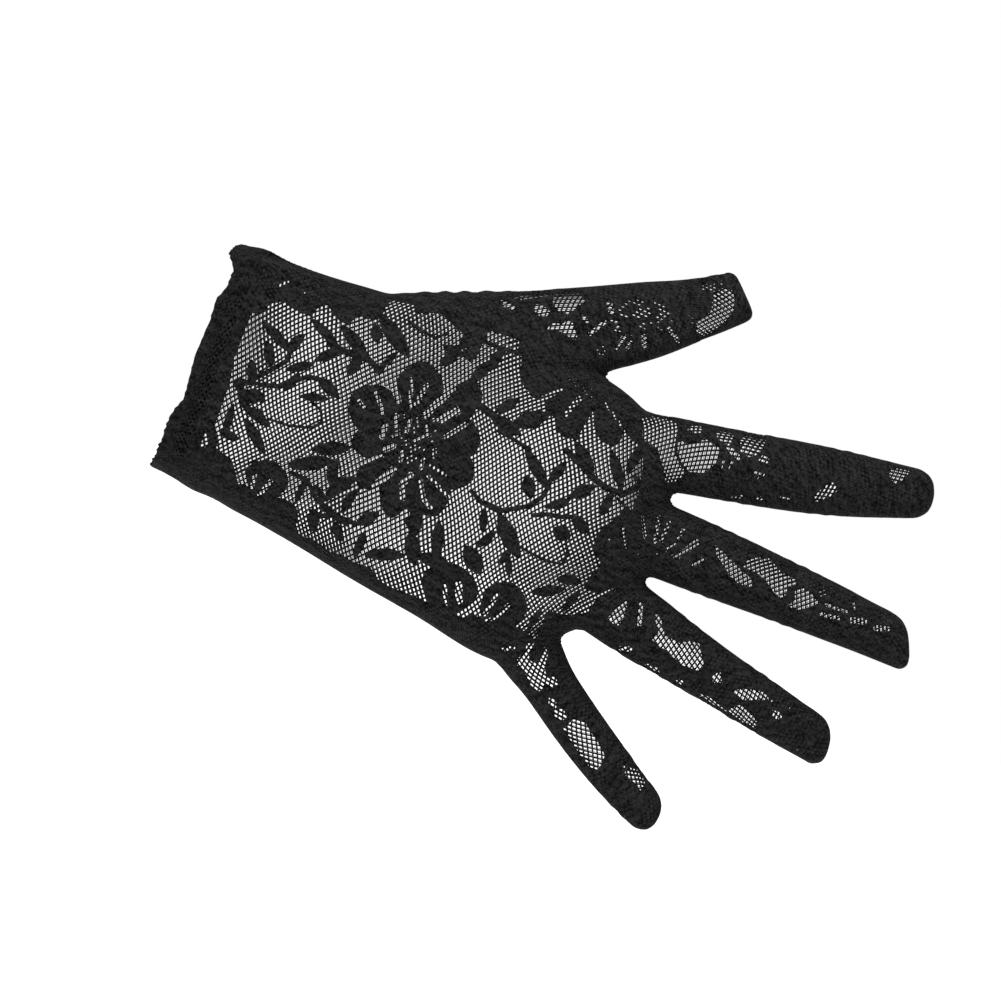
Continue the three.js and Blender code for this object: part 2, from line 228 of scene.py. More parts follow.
# Leaves: from their foot to their tip, their breadth, and how far they bow to the left of that way.
LEAVES = [
    # x foot, z foot, x tip, z tip, breadth, bow
    (26.3, 20.3, 35.8, 15.8, 2.5, 0), (34, 21.6, 43.5, 16, 3.4, 0), (14.8, 15, 24.6, 10, 2.7, 0.3),
    (26.4, 16, 24, 9.8, 2.8, -0.4), (18, 10.8, 21.4, 4.6, 2.9, 0), (16, 5, 18.2, -0.6, 2.7, 0),
    (31.5, 9.8, 24.8, 5.4, 2.5, 0), (36.6, 15.4, 30.8, 10.2, 2.4, 0), (41.8, 16, 40.3, 9.6, 3, 0),
    (33.2, 6.8, 40.6, 3.6, 3.1, 0), (28.8, 6.2, 26.6, 0.6, 2.3, 0), (30.6, 0.6, 38, 2.6, 2.2, 0),
    (13.6, -2.2, 23, -3.8, 4.4, 0), (15.5, -4.6, 26.4, -9.8, 3.4, 0), (19.8, -9.6, 28, -16.8, 2.9, 0),
    (15.6, -7, 16.4, -16, 2.2, 0), (14.5, -15.2, 20.4, -15.4, 2.4, 0), (40, -18, 39.3, -26, 1.7, 0),
    (45, -11.6, 34.2, -17.4, 3.8, 0), (48, -7, 38.6, -11.2, 3.6, 0), (44.4, -11.8, 46, -18, 2.3, 0),
    (42, 27.8, 53.4, 20, 4.3, 0), (41.8, 25, 44.6, 20.4, 2.8, 0), (50.2, 20.4, 46.8, 12.8, 1.9, 0),
    (60.2, 26, 67, 25.6, 2.6, 0), (65.2, 26.4, 61.2, 20.8, 2.8, 0), (75.2, 31.4, 73.3, 23.6, 2.8, 0),
    (73.2, 26.2, 70.2, 19, 3, 0), (83.8, 20.4, 79, 14.6, 2.8, 0), (92.6, 19.4, 84, 13, 4.4, 0),
    (78, 13.6, 87.6, 11.6, 3.6, 0), (89.4, 9, 99, 1, 3.3, 0), (100.8, 9.6, 98.4, 2.6, 2.8, 0),
    (110, 6.4, 104.6, 1, 3.2, 0), (105.4, 0.8, 99.6, -3.8, 2.4, 0), (92.3, 2.6, 95.8, -2.8, 3.6, 0),
    (101.2, 15.2, 108.4, 9.2, 3.1, 0), (110.3, 16.6, 117, 7.6, 3, 0), (117.4, 20.4, 116.4, 12.2, 2.8, 0),
    (117.8, 21.8, 126.8, 11, 4.6, 0), (114.8, 6.4, 113.9, -0.4, 2.6, 0), (122, 9.4, 121.6, 3, 1.6, 0),
    (106.8, -3, 112.8, -5.8, 3.2, 0), (103.6, -7.8, 108.8, -8.6, 4.2, 0), (85.3, -9, 87.2, -15.6, 2.3, 0),
    (90.4, -13.6, 86.8, -19.8, 2.3, 0), (89, -9, 98.4, -18.4, 4.4, 0), (96, -17, 93.6, -21.4, 1.8, 0),
    (95.4, -18.4, 97.6, -23.6, 2, 0), (112.2, -21.2, 104.6, -25.4, 2.8, 0), (109, -19.6, 115.4, -18, 2.8, 0),
    (108.4, -27.6, 106.9, -35.4, 1.7, 0), (116, -20, 113.6, -27.4, 1.9, 0), (111, -35.6, 111.3, -42.2, 2.6, 0),
    (125.4, 27.6, 129.6, 25.6, 2.9, 0), (75.4, -16, 78.8, -27.4, 3.2, 0), (45.4, -11, 46.4, -18, 2.2, 0),
    (52.4, -13.6, 46.4, -22.6, 3.6, -1.2), (60.6, -20, 55.8, -25.2, 3.2, 0), (44, -25, 46.6, -31, 3, 0),
    (50.2, -26.4, 54.2, -30.6, 2.6, 0), (58.8, -25.6, 58.6, -33.4, 2.4, 0), (61, -31.8, 70.8, -28.2, 3.2, 0.4),
    (69.6, -21.6, 73.8, -29.6, 4.2, 0), (73, -27, 82.6, -26.2, 3.6, 0), (84, -20, 90.6, -25.6, 4.6, 0),
    (46.6, -22.4, 42.6, -19.4, 1.8, 0), (53.4, -16, 51.6, -24, 2.6, -0.5), (64.2, 30.8, 68.8, 24.4, 3.4, 0),
]

# Petals: the same, broad and blunt at the tip.
PETALS = [
    # the large flower over the middle of the back
    (61, 2, 57.4, 20.4, 12.6, 0), (62, 2, 74, 18.4, 8.6, 0), (63, 3, 78.4, 6, 12.4, 0), (62, -1, 80, -3.6, 12, 0),
    (60, 2, 43, 5.6, 13, 0), (60, 0, 47.4, -6, 9, 0), (61, -2, 53, -15.6, 8.6, 0), (61.5, -2, 63.6, -20.4, 8.6, 0),
    (62.5, -2, 74.6, -15.6, 12, 0), (66, -12, 71.4, -22.4, 4.6, 0), (65, 8, 72.4, 20, 6.6, 0),
    # the bud at the wrist and the two flowers by the little finger
    (30.4, -29, 30.4, -17.4, 11.4, 0), (84.6, -40, 84, -25.4, 15, 0), (98.6, -40, 99, -24.6, 12.4, 0),
    # the flower in front of the thumb
    (96, 33, 98, 15, 8.4, 0), (92, 33, 86, 22, 9, 0), (94, 33, 91.6, 19, 4.6, 0), (103, 31, 109, 17.4, 6.4, 0),
]

# Stems and outline threads: breadth, then the points that they run through.
STEMS = [
    (9, [(61, 0.2), (62.4, 0.6)]),  # the middle of the large flower
    (1.3, [(24.3, 10.8), (24.6, 8), (22.6, 5.4), (20.4, 2.8), (17.6, -0.4)]),
    (1.7, [(33, 15.8), (38, 15.4), (44, 15.6), (47.6, 14)]),
    (1.3, [(14.6, -1.2), (19.6, -0.6), (25, 1), (31, 6), (34.5, 6.4)]),
    (0.7, [(25.4, -7.8), (31, -7.5), (36.4, -6), (38.5, -3.6), (37.2, -1), (33.6, 0.6)]),
    (0.7, [(49.8, 28.8), (54, 27.6), (58, 27.2), (60.2, 29.4)]),
    (0.9, [(69.6, 31), (74, 30.9), (80.6, 31.4)]),
    (2, [(71, 15.4), (76, 14.6), (80, 13.4), (84, 12)]),
    (1, [(81, 10.6), (86, 9.9), (91, 8.9)]),
    (1.3, [(98.8, 2), (98.2, -1.4), (95.4, -5), (90, -8.2), (85, -8)]),
    (1.2, [(80.6, -6.4), (84, -8.2), (89, -8.8)]),
    (1.7, [(100, 12), (104.6, 10), (108.4, 8.1), (112.4, 6.8), (117.4, 6.8), (121, 10.6)]),
    (0.7, [(116.4, 5.2), (118.4, 4.4), (120.6, 3.4)]),
    (0.7, [(97, -15.3), (101, -15.9), (105, -16.3), (109.2, -15.6), (109.4, -12.4), (108, -10)]),
    (1.2, [(97.6, -6.6), (101, -5), (104.4, -4.4), (107, -3.4)]),
    (0.75, [(125.4, 28.6), (125.3, 25.4), (126.2, 22.2), (128.4, 19.6), (131.4, 18)]),
    (1.2, [(36, -18.6), (40.4, -19), (44, -22.6), (50, -24.8), (56, -25)]),
    (1, [(46, -24), (50, -25.4), (54, -26)]),
    (1.2, [(44.6, -27), (48.6, -25.6)]),
    (1, [(118.4, 12.2), (120.4, 11.4), (121.4, 12.6)]),
]

# Slits of net in the dense work: from, to, breadth.
SLITS = [
    (17.2, -2.3, 20, -1.2, 0.9), (20, -6.1, 22.6, -5.8, 0.8), (21, -9.3, 22, -9.9, 0.8),
    (16.2, -19.4, 18, -17.2, 1), (27.2, -22.4, 27.6, -26.2, 1), (31.6, -22.4, 30, -27, 1.1),
    (49.5, 15.6, 54.8, 8.6, 1.7), (56, 15, 58.2, 8, 1), (60.1, 15, 59.4, 9.2, 1.2), (66.6, 16.4, 62.6, 7.6, 1.8),
    (70, 11.6, 66.8, 8, 2), (66.8, 8, 65, 7.2, 0.9), (73.2, 9.2, 69.4, 4.2, 1.1), (48.7, 8.5, 52.4, 4, 1),
    (45.4, 4.9, 47.4, 3.6, 0.9), (55.8, 5, 56.4, 2.2, 1.1), (54, 1.4, 54.2, -1.6, 1.4), (59.4, 5, 59.6, 1.6, 1),
    (63.8, 5.4, 65.6, 2.8, 0.9), (62.4, 0.6, 64.8, 2.6, 1), (68, 0.2, 68.6, -1.6, 1), (56.2, -4.2, 57.6, -2.8, 1.8),
    (51, -10.4, 56, -6.2, 1), (57, -14, 59.9, -8.6, 1.9), (64.6, -8.2, 63.4, -11, 1.7),
    (63.4, -11, 64.8, -14.6, 1.3), (67.4, -8.4, 70, -12.8, 1.1), (70, -12.8, 72.6, -14.4, 1.1),
    (68.6, -6.6, 75.4, -9.8, 0.9), (68.6, -4, 72.8, -5, 0.9), (66.2, -3.2, 66.4, -5.6, 1),
    (60.6, -3.4, 60.8, -5.6, 1.1), (67, -17.8, 65.6, -20.4, 2), (83, -31.8, 84.8, -36, 1.1),
    (86.2, -30.2, 87.8, -34, 1.9), (92.4, -29, 92.7, -33.4, 1.1), (92.7, -33.4, 91.6, -35.4, 1),
    (96.5, -28.8, 95.2, -35, 1), (100, -30.4, 98.6, -34.2, 1), (98.6, -34.2, 96.2, -36.4, 0.9),
    (103, -41.8, 105.2, -40.4, 1.1), (93.2, 26.6, 89, 22.2, 1.2), (98.1, 26, 96.2, 20.8, 1.4),
    (104.4, 27.4, 107.6, 25.4, 0.8), (107.6, 25.4, 111.6, 22.6, 0.8), (128.2, 4.9, 129.6, -2, 0.9),
    (131.3, 4.6, 131, -0.9, 1), (135.4, 4.6, 134.8, 1.4, 0.8), (134.4, -0.4, 133.2, -2.6, 0.9),
    (139.8, 2.2, 136.4, -3, 1.5), (136.4, -3, 134.8, -3.6, 0.8), (142.6, -1.4, 141, -3.6, 1),
    (120.8, -1.4, 123.2, -5.4, 1), (124, 3.4, 126.6, -1.4, 0.9), (120.6, -19.7, 124.2, -17, 0.8),
    (132, -17.8, 133.4, -23, 1.1), (137.2, -19.6, 139.6, -23, 1.5), (177, -1, 182.6, -0.8, 0.8),
    (176.4, -3.8, 181.6, -3, 1), (184.8, -2.3, 188, -1.4, 1.6), (191.4, -2, 194.4, -1, 1.4),
    (183.4, 2, 184.6, 0.9, 1), (97.2, 47, 94.6, 42.6, 1), (103.2, 45.4, 102.4, 41.4, 1.1),
    (96.4, 52.2, 98, 50, 1.5), (91.4, 46.4, 92.8, 45.4, 0.9), (121.3, 70.2, 121.8, 67.6, 1.4),
    (113.1, 51.6, 117.2, 49, 1), (105, 42.6, 105.4, 44.6, 0.8), (108, 47.2, 109, 45, 1.3),
    (75, 13.2, 80.4, 10.8, 1.6), (144, 15.8, 146.4, 17.2, 1), (158, 21, 156, 20.6, 0.8),
]

# Dense work let through by small holes: middle, half sizes, turn in degrees, and how open it is.
SIEVES = [
    (61.5, 0.5, 7.6, 6.4, 0, 0.8), (105, 51.5, 9, 5.2, 25, 0.5), (13.9, -12, 0.9, 3.4, 0, 0.7),
    (98.5, 29, 5, 1.8, -10, 0.5), (122.7, 8.6, 1.8, 6, 0, 0.7), (111.8, -31.4, 1.9, 3.6, 0, 0.6),
    (109.2, -32, 1, 3.4, 0, 0.85), (75.5, 46.4, 6, 1.4, 22, 0.7), (81.5, 43.6, 2.2, 1.3, 0, 0.6),
    (88.8, 41.8, 3.8, 1.8, -10, 0.6), (98.8, 39.8, 1.6, 1.4, 0, 0.5), (72.6, 42.6, 2.8, 0.7, 10, 0.5),
    (118.2, 55.8, 2, 1.1, 0, 0.8), (148.4, 24.4, 1.7, 1.4, 0, 0.7), (182.6, 37.7, 2.6, 2.2, 30, 0.7),
    (165, 36.4, 8, 1.2, 8, 0.4), (139.6, 24.6, 1.8, 3, 0, 0.6), (139.8, 27, 2, 0.9, 0, 0.8),
    (135.8, 30.4, 2.8, 1.3, 12, 0.7), (174.6, 2.2, 1.5, 1.9, 0, 0.7), (146.8, -7, 1.4, 1.1, 0, 0.6),
    (164, -30.4, 1.4, 0.8, 0, 0.8), (170.2, -29.2, 3.4, 1.1, -12, 0.6), (175.3, -32.5, 1.4, 1, 0, 0.9),
    (158.2, -35.6, 3.9, 0.9, -12, 0.8), (140.8, -33, 3, 1, -10, 0.8), (148.5, -33.5, 1.6, 0.7, 0, 0.8),
    (131.2, -30.6, 1.9, 1.1, -15, 0.8), (119.8, -50.4, 1.3, 0.9, 0, 0.8), (123, -52.2, 1.7, 1.2, -35, 0.9),
    (143.2, -59, 0.9, 0.9, 0, 0.7), (133, -48.4, 7, 0.8, -38, 0.4), (5.4, 29.6, 1.2, 0.5, 0, 0.9),
    (21, 29.2, 1, 0.9, 0, 0.9), (24.8, 30.2, 0.7, 0.5, 0, 1), (17.2, 26.4, 1.8, 0.6, 30, 0.9),
    (22.8, 25.8, 0.7, 0.6, 0, 0.8), (33.2, 28.7, 0.8, 0.5, 0, 1), (22.4, 31.5, 0.6, 0.5, 0, 0.8),
    (67, 28, 2.2, 2.4, 0, 0.4), (118, -5.6, 1, 0.8, 0, 0.8), (127, -6, 0.8, 0.8, 0, 0.7),
    (131.6, -4.8, 1.8, 0.6, 0, 0.6), (136.4, -9, 1, 0.6, 0, 0.6), (178.6, -29.8, 1.3, 0.9, 0, 0.8),
    (183.3, -39.6, 1.3, 0.9, 0, 0.8),
]


def outline_distance(points, corners):
    """Distance of points to a closed outline, negative inside it."""
    a = np.array(corners, float)
    b = np.roll(a, -1, axis=0)
    nearest = np.full(len(points), np.inf)
    crossings = np.zeros(len(points), int)
    for p, q in zip(a, b):
        run = q - p
        t = np.clip((points - p) @ run / (run @ run), 0, 1)
        nearest = np.minimum(nearest, np.hypot(*(points - p - t[:, None] * run).T))
        spans = (p[1] > points[:, 1]) != (q[1] > points[:, 1])
        with np.errstate(divide="ignore", invalid="ignore"):
            x = p[0] + (points[:, 1] - p[1]) * run[0] / run[1]
        crossings += spans & (points[:, 0] < x)
    return np.where(crossings % 2, -nearest, nearest)


def leaf_distance(points, leaf, widest, fullness):
    """Distance to a leaf or petal. widest over 1 moves its broadest part to the tip, fullness under 1 rounds it."""
    x0, z0, x1, z1, breadth, bow = leaf
    foot, tip = np.array([x0, z0]), np.array([x1, z1])
    run = tip - foot
    length = np.hypot(*run)
    along = (points - foot) @ run / length
    aside = (points - foot) @ np.array([-run[1], run[0]]) / length
    t = np.clip(along / length, 0, 1)
    half = breadth / 2 * np.sin(np.pi * t**widest) ** fullness
    aside = np.abs(aside - bow * 4 * t * (1 - t))
    beyond = np.maximum(np.maximum(-along, along - length), 0)
    return np.where(beyond > 0, np.hypot(beyond, aside), aside - half)


def thread_distance(points, run, breadth):
    """Distance to a line of one breadth through points."""
    nearest = np.full(len(points), np.inf)
    for p, q in zip(run[:-1], run[1:]):
        p, q = np.array(p, float), np.array(q, float)
        t = np.clip((points - p) @ (q - p) / ((q - p) @ (q - p)), 0, 1)
        nearest = np.minimum(nearest, np.hypot(*(points - p - t[:, None] * (q - p)).T))
    return nearest - breadth / 2


def motif_distance(points):
    """Distance to the edge of the dense work, negative inside it."""
    ground = np.min([outline_distance(points, o) for o in GROUNDS.values()], axis=0)
    window = np.min([outline_distance(points, o) for o in WINDOWS], axis=0)
    dense = np.maximum(ground, -window)
    for leaf in LEAVES:
        dense = np.minimum(dense, leaf_distance(points, leaf, 1, 0.75))
    for petal in PETALS:
        dense = np.minimum(dense, leaf_distance(points, petal, 1.35, 0.6))
    for breadth, run in STEMS:
        dense = np.minimum(dense, thread_distance(points, run, breadth))
    slit = np.min([thread_distance(points, [(a, b), (c, d)], w) for a, b, c, d, w in SLITS], axis=0)
    return np.maximum(dense, -slit)


def sieve_openness(points):
    """How open the dense work is at points: 0 closed, 1 as open as net."""
    openness = np.zeros(len(points))
    for x, z, half_x, half_z, turn, openness_here in SIEVES:
        c, s = np.cos(np.radians(turn)), np.sin(np.radians(turn))
        dx, dz = points[:, 0] - x, points[:, 1] - z
        inside = np.hypot((c * dx + s * dz) / half_x, (c * dz - s * dx) / half_z) < 1
        openness = np.where(inside, np.maximum(openness, openness_here), openness)
    return openness


# ---------------------------------------------------------------------------------------------------------- form


def smoothstep(x, start, end):
    t = np.clip((x - start) / (end - start), 0, 1)
    return t * t * (3 - 2 * t)


def column_at(table, column, along):
    """The value of a column at a place along a table, on a smooth curve through its rows."""
    last = len(table) - 1
    after = next((k for k, row in enumerate(table) if row[0] >= along), last)
    i = max(0, after - 1)
    before, start, end, beyond = (table[min(max(k, 0), last)] for k in (i - 1, i, i + 1, i + 2))
    span = end[0] - start[0]
    t = min(max((along - start[0]) / span, 0), 1)
    slopes = [(b[column] - a[column]) / max(b[0] - a[0], 1e-6) * span for a, b in ((before, end), (start, beyond))]
    return (
        (2 * t**3 - 3 * t**2 + 1) * start[column]
        + (t**3 - 2 * t**2 + t) * slopes[0]
        + (3 * t**2 - 2 * t**3) * end[column]
        + (t**3 - t**2) * slopes[1]
    )


def ring(x, z, turn, half_width, half_depth, squareness, sides, slant=0.0):
    """One ring of a tube: breadth in the XZ plane across its direction, depth along Y."""
    angle = np.arange(sides) / sides * 2 * np.pi
    cos, sin = np.cos(angle), np.sin(angle)
    aside = half_width * np.sign(cos) * np.abs(cos) ** (2 / squareness)
    depth = half_depth * np.sign(sin) * np.abs(sin) ** (2 / squareness)
    ahead = -aside * slant
    c, s = math.cos(turn), math.sin(turn)
    return np.stack([x + ahead * c - aside * s, depth, z + ahead * s + aside * c], axis=1)


def palm_ring(x, sides):
    """A ring of the wrist or palm at x."""
    along = max(x, 0) / PALM_LENGTH
    thumb_edge = column_at(PALM_SECTIONS, 1, along) * PALM_WIDTH
    little_edge = column_at(PALM_SECTIONS, 2, along) * PALM_WIDTH
    half_depth = column_at(PALM_SECTIONS, 3, along) * PALM_DEPTH / 2
    middle, half_width = (thumb_edge + little_edge) / 2, (thumb_edge - little_edge) / 2
    return ring(x, middle, 0, half_width, half_depth, PALM_SQUARENESS, sides)


def digit_rings(name):
    length, width, along, across, root_turn, middle_turn, tip_turn, tip_round, tip_slant = DIGITS[name]
    column = list(DIGITS).index(name) + 1

    def turn_at(u):
        return math.radians(root_turn * (1 - u) ** 2 + middle_turn * 2 * u * (1 - u) + tip_turn * u**2)

    def half_width_at(u):
        return column_at(DIGIT_SECTIONS, column, u) * width / 2

    corner = max(tip_round * half_width_at(1), 1)
    places = [(at, 0.0) for at in np.linspace(0, length - corner, int(length / 2))]
    for lift in np.linspace(0, math.pi / 2, 9)[1:]:
        places.append((length - corner + corner * math.sin(lift), corner * (1 - math.cos(lift))))
    x, z, walked = along * PALM_LENGTH, across * PALM_WIDTH, 0.0
    rings = []
    for at, drawn in places:
        turn = turn_at((walked + at) / 2 / length)
        x, z, walked = x + (at - walked) * math.cos(turn), z + (at - walked) * math.sin(turn), at
        u = at / length
        half_width = max(half_width_at(u) - drawn, 0.25)
        half_depth = max(half_width_at(u) * DIGIT_ROUNDNESS - drawn, 0.25)
        slant = math.tan(math.radians(tip_slant)) * float(smoothstep(u, 0.7, 1))
        rings.append(ring(x, z, turn_at(u), half_width, half_depth, DIGIT_SQUARENESS, DIGIT_SIDES, slant))
    return rings


def hang(x, z):
    """How far a point of the flat layout moves along Y as the fingers curl and the palm arches."""
    knuckles = 0.78 * PALM_LENGTH
    reach = DIGITS["middle"][2] * PALM_LENGTH + DIGITS["middle"][0] - knuckles
    curl = FINGER_CURL * (np.maximum(x - knuckles, 0) / reach) ** 2
    arch = PALM_ARCH * smoothstep(x, 0, 0.5 * PALM_LENGTH)
    arch = arch * np.minimum(((z + 0.06 * PALM_WIDTH) / (PALM_WIDTH / 2)) ** 2, 1.5)
    crotch_x, crotch_z = 0.765 * PALM_LENGTH, 0.425 * PALM_WIDTH
    slope = math.radians(42)
    beside_thumb = -(x - crotch_x) * math.sin(slope) + (z - crotch_z) * math.cos(slope)
    beyond_edge = np.minimum(z - crotch_z, beside_thumb)
    step = smoothstep(beyond_edge, -0.5 * THUMB_FOLD_WIDTH, 0.5 * THUMB_FOLD_WIDTH)
    return curl + arch + THUMB_DROP * step * smoothstep(x, 0.16 * PALM_LENGTH, 0.6 * PALM_LENGTH)


def flare(x, z):
    """The cuff stands off the wrist a little on the thumb side."""
    return 1.5 * smoothstep(z, 8, 30) * (1 - smoothstep(x, 5, 17))


def wrist_edge(z):
    """How far the fold of the hem draws back from the end of the form, which leaves it wavy."""
    drawn = [
        (-30, 0), (-27, 0.8), (-24, 1.2), (-20, 1.5), (-16.4, 1.2), (-13, 2.1), (-10.7, 2.8), (-5, 2.3), (-1, 1.9),
        (5, 2.1), (10, 2.3), (13, 1.8), (15.7, 1.5), (18.4, 2.5), (20.2, 2.8), (22.8, 3), (25, 1.7), (27, 0.7),
        (28.8, 0.6), (30, 1.2), (30.7, 2.1), (31.2, 3.2),
    ]
    return np.interp(z, *np.transpose(drawn))


def crease(x, z):
    """Height of the fine folds in the cloth: gathers at the root of the thumb and slack at the wrist."""
    along, aside = x - 70, z - 39
    gathers = np.exp(-((along / 22) ** 2) - (aside / 6) ** 2)
    run = 0.2 * x + z
    height = 0.4 * gathers * np.sin(run * 1.9 + 0.8 * np.sin(x * 0.22))
    slack = np.exp(-(((x - 12) / 12) ** 2) - ((z - 29) / 6) ** 2)
    height += slack * (1.1 * np.sin(0.95 * z - 0.1 * x + 1.2) + 0.5 * np.sin(2.1 * z + 0.15 * x))
    wrist = np.exp(-(((x - 14) / 11) ** 2)) * smoothstep(-z, 8, 22)
    height += 0.25 * wrist * np.sin(0.5 * x + 0.35 * z)
    joints = np.exp(-(((x - 146) / 5) ** 2)) + np.exp(-(((x - 168) / 5) ** 2))
    return height + 0.12 * joints * np.sin(1.5 * x)


def unit(vectors):
    return vectors / np.linalg.norm(vectors, axis=1)[:, None]


def select_only(obj):
    bpy.ops.object.select_all(action="DESELECT")
    obj.select_set(True)
    bpy.context.view_layer.objects.active = obj


@contextmanager
def editing(obj):
    """The whole mesh of an object is selected for editing."""
    select_only(obj)
    bpy.ops.object.mode_set(mode="EDIT")
    bpy.ops.mesh.select_all(action="SELECT")
    yield
    bpy.ops.object.mode_set(mode="OBJECT")


def join(objects):
    """Joins objects into the first of them."""
    select_only(objects[0])
    for obj in objects[1:]:
        obj.select_set(True)
    bpy.ops.object.join()
    return objects[0]


def thicken(obj, thickness, **settings):
    """Gives a sheet its thickness, from its skin inward."""
    select_only(obj)
    ply = obj.modifiers.new("ply", "SOLIDIFY")
    for name, value in {"thickness": thickness * MM, "offset": -1, **settings}.items():
        setattr(ply, name, value)
    bpy.ops.object.modifier_apply(modifier="ply")


def linked(name, data):
    """A new object in the scene."""
    obj = bpy.data.objects.new(name, data)
    bpy.context.scene.collection.objects.link(obj)
    return obj


def new_object(name, points, faces):
    mesh = bpy.data.meshes.new(name)
    mesh.from_pydata([tuple(p) for p in points], [], faces)
    mesh.update()
    return linked(name, mesh)


def tube(name, rings):
    sides = len(rings[0])
    points = np.vstack([*rings, rings[0].mean(axis=0), rings[-1].mean(axis=0)])
    faces = []
    for r in range(len(rings) - 1):
        for i in range(sides):
            a, b = r * sides + i, r * sides + (i + 1) % sides
            faces.append((a, a + sides, b + sides, b))
    start = len(rings) * sides
    for i in range(sides):
        faces.append((start, i, (i + 1) % sides))
        faces.append((start + 1, start - sides + (i + 1) % sides, start - sides + i))
    return new_object(name, points, faces)


def glove_form():
    """The whole glove as one closed skin, laid out flat."""
    palm = tube("palm", [palm_ring(x, PALM_SIDES) for x in np.linspace(FORM_START, PALM_LENGTH, 74)])
    form = join([palm] + [tube(name, digit_rings(name)) for name in DIGITS])
    form.data.remesh_voxel_size = VOXEL
    bpy.ops.object.voxel_remesh()
    with editing(form):
        bpy.ops.mesh.vertices_smooth(factor=0.5, repeat=3)
        bpy.ops.mesh.normals_make_consistent(inside=False)
    return form


def cut(form, name, planes):
    """A copy of the form, kept behind every plane given as a point and an outward direction."""
    obj = linked(name, form.data.copy())
    with editing(obj):
        for point, outward in planes:
            bpy.ops.mesh.select_all(action="SELECT")
            bpy.ops.mesh.bisect(plane_co=point, plane_no=outward, clear_outer=True)
    return obj


# ----------------------------------------------------------------------------------------------------- flat cloth


class FlatCloth:
    """A panel of the form laid flat, to find the place on the form of any point of the cloth."""

    def __init__(self, panel):
        with editing(panel):
            bpy.ops.uv.unwrap(method="MINIMUM_STRETCH", fill_holes=False, margin=0.0)
        mesh = panel.data
        mesh.calc_loop_triangles()
        self.triangles = np.array([t.vertices for t in mesh.loop_triangles])
        self.places = np.array([v.co for v in mesh.vertices])
        self.normals = np.array([v.normal for v in mesh.vertices])
        flat = np.zeros((len(mesh.vertices), 2))
        for loop, uv in zip(mesh.loops, mesh.uv_layers.active.uv):
            flat[loop.vertex_index] = uv.vector
        flat *= math.sqrt(self.area(self.places) / self.area(np.c_[flat, np.zeros(len(flat))]))
        flat -= flat.mean(axis=0)

        # The cloth's length runs along X and its breadth along Z.
        layout = self.places[:, [0, 2]]
        u, _, v = np.linalg.svd(flat.T @ (layout - layout.mean(axis=0)))
        self.flat = flat @ (u @ v) + layout.mean(axis=0)
        self.flat_area = self.area(np.c_[self.flat, np.zeros(len(flat))])
        self.tree = BVHTree.FromPolygons(
            [Vector((p[0], p[1], 0)) for p in self.flat], [tuple(int(i) for i in t) for t in self.triangles]
        )

    def area(self, points):
        a, b, c = (points[self.triangles[:, k]] for k in range(3))
        return np.linalg.norm(np.cross(b - a, c - a), axis=1).sum() / 2

    def lay(self, flat):
        """Nearest points of the cloth, how far off they are, and their places and normals on the form."""
        nearest, off = np.zeros_like(flat), np.zeros(len(flat))
        places, normals = np.zeros((len(flat), 3)), np.zeros((len(flat), 3))
        for k, (x, y) in enumerate(flat):
            found, _, index, distance = self.tree.find_nearest(Vector((x, y, 0)))
            corners = self.triangles[index]
            a, b, c = self.flat[corners]
            p = np.array(found[:2])
            area = (b[0] - a[0]) * (c[1] - a[1]) - (c[0] - a[0]) * (b[1] - a[1])
            wb = ((p[0] - a[0]) * (c[1] - a[1]) - (c[0] - a[0]) * (p[1] - a[1])) / area
            wc = ((b[0] - a[0]) * (p[1] - a[1]) - (p[0] - a[0]) * (b[1] - a[1])) / area
            weights = np.array([1 - wb - wc, wb, wc])
            nearest[k], off[k] = p, distance
            places[k] = weights @ self.places[corners]
            normals[k] = weights @ self.normals[corners]
        return nearest, off, places, unit(normals)


def drift(flat):
    """The stretched net runs a little uneven."""
    x, y = flat[:, 0], flat[:, 1]
    along = 0.7 * np.sin(x * 0.11 + y * 0.07) + 0.3 * np.sin(y * 0.31)
    across = 0.7 * np.sin(y * 0.1 - x * 0.06) + 0.3 * np.sin(x * 0.27)
    return np.stack([along, across], axis=1)


def hole_corners(corners, insets):
    """The corners of a hole in a cell, inset from each of its sides, or None where the cell is too small for one.
    insets[k] is for the side from corner k to the next."""
    count = len(corners)
    sides = [corners[(k + 1) % count] - corners[k] for k in range(count)]
    lengths = [max(np.linalg.norm(side), 1e-6) for side in sides]
    sides = [side / length for side, length in zip(sides, lengths)]
    for share in (1, 0.75, 0.5):
        inner = []
        for k in range(count):
            ahead, back = sides[k], -sides[k - 1]
            turn = max(np.linalg.norm(np.cross(ahead, back)), 0.35)
            inner.append(corners[k] + share / turn * (insets[k - 1] * ahead + insets[k] * back))
        if all((inner[(k + 1) % count] - inner[k]) @ sides[k] > 0.12 for k in range(count)):
            return inner
    return None


